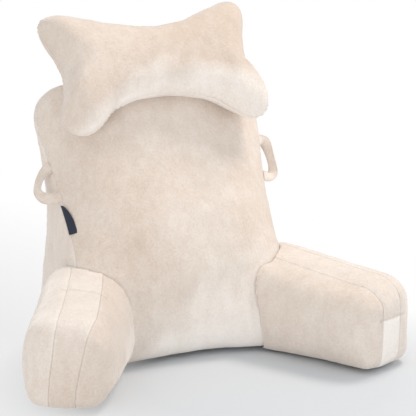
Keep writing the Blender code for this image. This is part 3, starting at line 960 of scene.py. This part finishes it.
stitching = stitch_tree(thread.material)
strap_plush = plush("strap_plush", PLUSH_LYING, PLUSH_PALE, brushed=0.4, sewn=False)
for word, side, upper, lower, reach, most_turned, number in STRAPS:
    top, bottom = seam_point(upper, side), seam_point(lower, side)
    span = np.linalg.norm(bottom - top)
    down = (bottom - top) / span
    out = np.array(STRAP_OUT) * (side, 1, 1)
    out -= down * (out @ down)
    out /= np.linalg.norm(out)
    deep = np.cross(out, down)
    route = STRAP_ROUTES[number]
    at = np.linspace(0, len(route) - 1, STRAP_RINGS)
    path = top + down * span * read(route, at, 1)[:, None]
    path = path + out * reach * read(route, at, 2)[:, None]
    rings, rows = [], [[] for _ in STITCH_ROWS]
    for point, tangent, turned in zip(path, np.gradient(path, axis=0), read(route, at, 3)):
        tangent /= np.linalg.norm(tangent)
        flat = np.cross(deep, tangent)
        turn = math.radians(float(turned) * most_turned)
        width = flat * math.cos(turn) + deep * math.sin(turn)
        face = np.cross(tangent, width)
        ring = []
        for angle in ROUND_TAPE:
            across = flattened(math.cos(angle), 0.45)
            lift = flattened(math.sin(angle), 0.75)
            groove = 1 - 0.35 * math.exp(-(((abs(across) - 0.78) / 0.08) ** 2))
            ring.append(point + width * STRAP_WIDTH / 2 * across + face * STRAP_THICKNESS / 2 * lift * groove)
        rings.append(ring)
        for row, (across, lift) in zip(rows, STITCH_ROWS):
            row.append(point + width * STRAP_WIDTH / 2 * across + face * STRAP_THICKNESS * 0.40 * lift)
    strap = closed_mesh("strap_" + word, rings)
    finer = strap.modifiers.new("finer", "SUBSURF")
    finer.levels = finer.render_levels = 1
    settle(strap)
    store(strap, "tone_shift", lumps(places_of(strap.data), 0.01, 31) * 0.4 + (0.3 if side > 0 else -0.3))
    dress(strap, strap_plush, "handle_" + word)
    edges = bpy.data.meshes.new("rows_" + word)
    count = len(path)
    steps = [(k * count + i, k * count + i + 1) for k in range(len(rows)) for i in range(count - 1)]
    edges.from_pydata([tuple(point) for row in rows for point in row], steps, [])
    stitches = bpy.data.objects.new("stitches_" + word, edges)
    bpy.context.scene.collection.objects.link(stitches)
    sewing = stitches.modifiers.new("sewing", "NODES")
    sewing.node_group = stitching
    for name, value in STITCH_SIZES:
        sewing[stitching.interface.items_tree[name].identifier] = value
    settle(stitches)
    stitches.data.shade_smooth()
    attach(stitches, "root")

# ------------------------------------------------------------------ side tag
# A short piece of navy woven ribbon, folded once and sewn lengthwise into the left side
# seam, so that it lies forward on the front panel.
TAG_TOP, TAG_BOTTOM = 0.276, 0.229
TAG_REACH = 0.0190
TAG_HALF_THICK = 0.0006
TAG_STAND_OFF, TAG_BOW = 0.0032, 0.0012  # how far it stands off the seam, and more in its middle
TAG_SWING = (math.radians(60), math.radians(44))  # turned to the front from straight across
rings = []
for share in np.linspace(0, 1, 41):
    swing = TAG_SWING[0] + (TAG_SWING[1] - TAG_SWING[0]) * share
    out = np.array((math.cos(swing), -math.sin(swing), 0.0))
    face = np.array((-math.sin(swing), -math.cos(swing), 0.0))
    reach = TAG_REACH * (1 - 0.65 * (1 - share) ** 5)
    ring = []
    for angle in ROUND_TAPE:
        across = 0.5 - 0.5 * flattened(math.cos(angle), 0.5)
        lift = flattened(math.sin(angle), 0.8) * TAG_HALF_THICK
        slant = share * (1.0 - 0.12 * across)
        edge = seam_point(TAG_TOP + (TAG_BOTTOM - TAG_TOP) * slant, -1)
        stand_off = TAG_STAND_OFF + TAG_BOW * math.sin(math.pi * across)
        ring.append(edge + out * reach * across + face * (stand_off + lift))
    rings.append(ring)
tag = closed_mesh("tag_ribbon", rings)
ribbon = Finish("navy_ribbon", Specular_IOR_Level=0.3, Sheen_Weight=0.1)
place = ribbon.node("ShaderNodeTexCoord", output="Object")
ribs = ribbon.node("ShaderNodeTexWave", {"bands_direction": "Z"}, {"Vector": place, "Scale": 380.0})
threads = clouds(ribbon, place, 1500.0, 2.0)
woven = (ribs * 0.6 + threads * 0.6 + 0.2).kept()
colour = ribbon.between(woven, (0.016, 0.021, 0.038, 1), (0.038, 0.048, 0.078, 1))
bump = ribbon.node("ShaderNodeBump", values={"Height": ribs * 0.0003 + threads * 0.0002, "Distance": 1.0})
ribbon.give(Base_Color=colour, Roughness=0.62 + threads * 0.2, Normal=bump)
dress(tag, ribbon.material, "side_tag")

# ------------------------------------------------------------------ room
# A pale floor that fades into a glow of painted light, light grey on the left and white on
# the right, soft warm light from the right and above, and weak broad lights from the front
# left and the front right.
bpy.data.objects.remove(backrest_form, do_unlink=True)
FLOOR_HALF = 6.0
FLOOR_CENTRE, FLOOR_REACH = (0.08, -0.20, 0.0), 0.22  # it starts to fade this far round here
FLOOR_FADE = 3.6  # share of it that is lost for each metre beyond that
TO_WHITE = (1.36, 0.60, 0.0)  # share of white gained for each metre to the right and the rear
WHITE_SHARE = 0.22  # share of white in the middle
SOFT_LIGHTS = (
    # name, place, what it faces, size, watts, colour
    ("overhead", (1.22, 0.18, 2.22), (0, 0, 0.05), 0.75, 25, (1.0, 0.905, 0.815)),
    ("front_left", (-2.4, -2.2, 0.5), (0, 0, 0.2), 1.6, 20, (1.0, 0.97, 0.94)),
    ("front_right", (2.0, -2.8, 0.4), (0, 0, 0.2), 1.6, 11, (1.0, 0.98, 0.96)),
)
mesh = bmesh.new()
bmesh.ops.create_grid(mesh, x_segments=2, y_segments=2, size=FLOOR_HALF)
data = bpy.data.meshes.new("floor")
mesh.to_mesh(data)
mesh.free()
floor = bpy.data.objects.new("floor", data)
floor.location.z = -0.0004
bpy.context.scene.collection.objects.link(floor)
pale = Finish("pale_floor", Specular_IOR_Level=0.1, Roughness=0.9)
pale.give(Base_Color=(0.648, 0.682, 0.718, 1))
place = pale.node("ShaderNodeTexCoord", output="Object")
outwards = pale.node("ShaderNodeVectorMath", {"operation": "SUBTRACT"}, {0: place, 1: FLOOR_CENTRE})
far = pale.node("ShaderNodeVectorMath", {"operation": "LENGTH"}, {0: outwards}, output="Value")
fade = ((far - FLOOR_REACH) * FLOOR_FADE).kept()
along = {0: place, 1: TO_WHITE}
rightwards = pale.node("ShaderNodeVectorMath", {"operation": "DOT_PRODUCT"}, along, output="Value")
whitened = (rightwards + WHITE_SHARE).kept()
# beyond its middle the floor glows as painted light, light grey to the left and white to the right
light_grey, white = (
    pale.node("ShaderNodeEmission", values={"Color": (1, 1, 1, 1), "Strength": strength})
    for strength in (0.84, 1.0)
)
backdrop = pale.node("ShaderNodeMixShader", values={0: whitened, 1: light_grey, 2: white})
lit = Level(pale, pale.shader.outputs[0])
mixed = pale.node("ShaderNodeMixShader", values={0: fade, 1: lit, 2: backdrop})
pale.tree.links.new(mixed.socket, pale.tree.nodes["Material Output"].inputs["Surface"])
data.materials.append(pale.material)

world = bpy.data.worlds.new("studio")
bpy.context.scene.world = world
world.use_nodes = True
tree = world.node_tree
sky = tree.nodes["Background"]
seen = tree.nodes.new("ShaderNodeBackground")
for shader, strength in ((sky, 0.82), (seen, 1.05)):
    shader.inputs["Color"].default_value = (1.0, 1.0, 1.0, 1)
    shader.inputs["Strength"].default_value = strength
rays = tree.nodes.new("ShaderNodeLightPath")
either = tree.nodes.new("ShaderNodeMixShader")
for start, end in (
    (rays.outputs["Is Camera Ray"], either.inputs[0]),
    (sky.outputs[0], either.inputs[1]),
    (seen.outputs[0], either.inputs[2]),
    (either.outputs[0], tree.nodes["World Output"].inputs["Surface"]),
):
    tree.links.new(start, end)

for name, place, towards, size, watts, colour in SOFT_LIGHTS:
    light = bpy.data.lights.new(name, "AREA")
    light.shape = "DISK"
    light.size = size
    light.energy = watts
    light.color = colour
    lamp = bpy.data.objects.new(name, light)
    lamp.location = place
    lamp.rotation_euler = (Vector(towards) - Vector(place)).to_track_quat("-Z", "Y").to_euler()
    bpy.context.scene.collection.objects.link(lamp)

camera_data = bpy.data.cameras.new("camera")
camera_data.sensor_width = 36.0
camera_data.lens = 170.45
camera = bpy.data.objects.new("camera", camera_data)
camera.location = (-1.2728, -3.1919, 1.1519)
camera.rotation_euler = tuple(math.radians(angle) for angle in (75.605, -0.083, -22.497))
bpy.context.scene.collection.objects.link(camera)
bpy.context.scene.camera = camera
bpy.context.scene.view_settings.view_transform = "Standard"
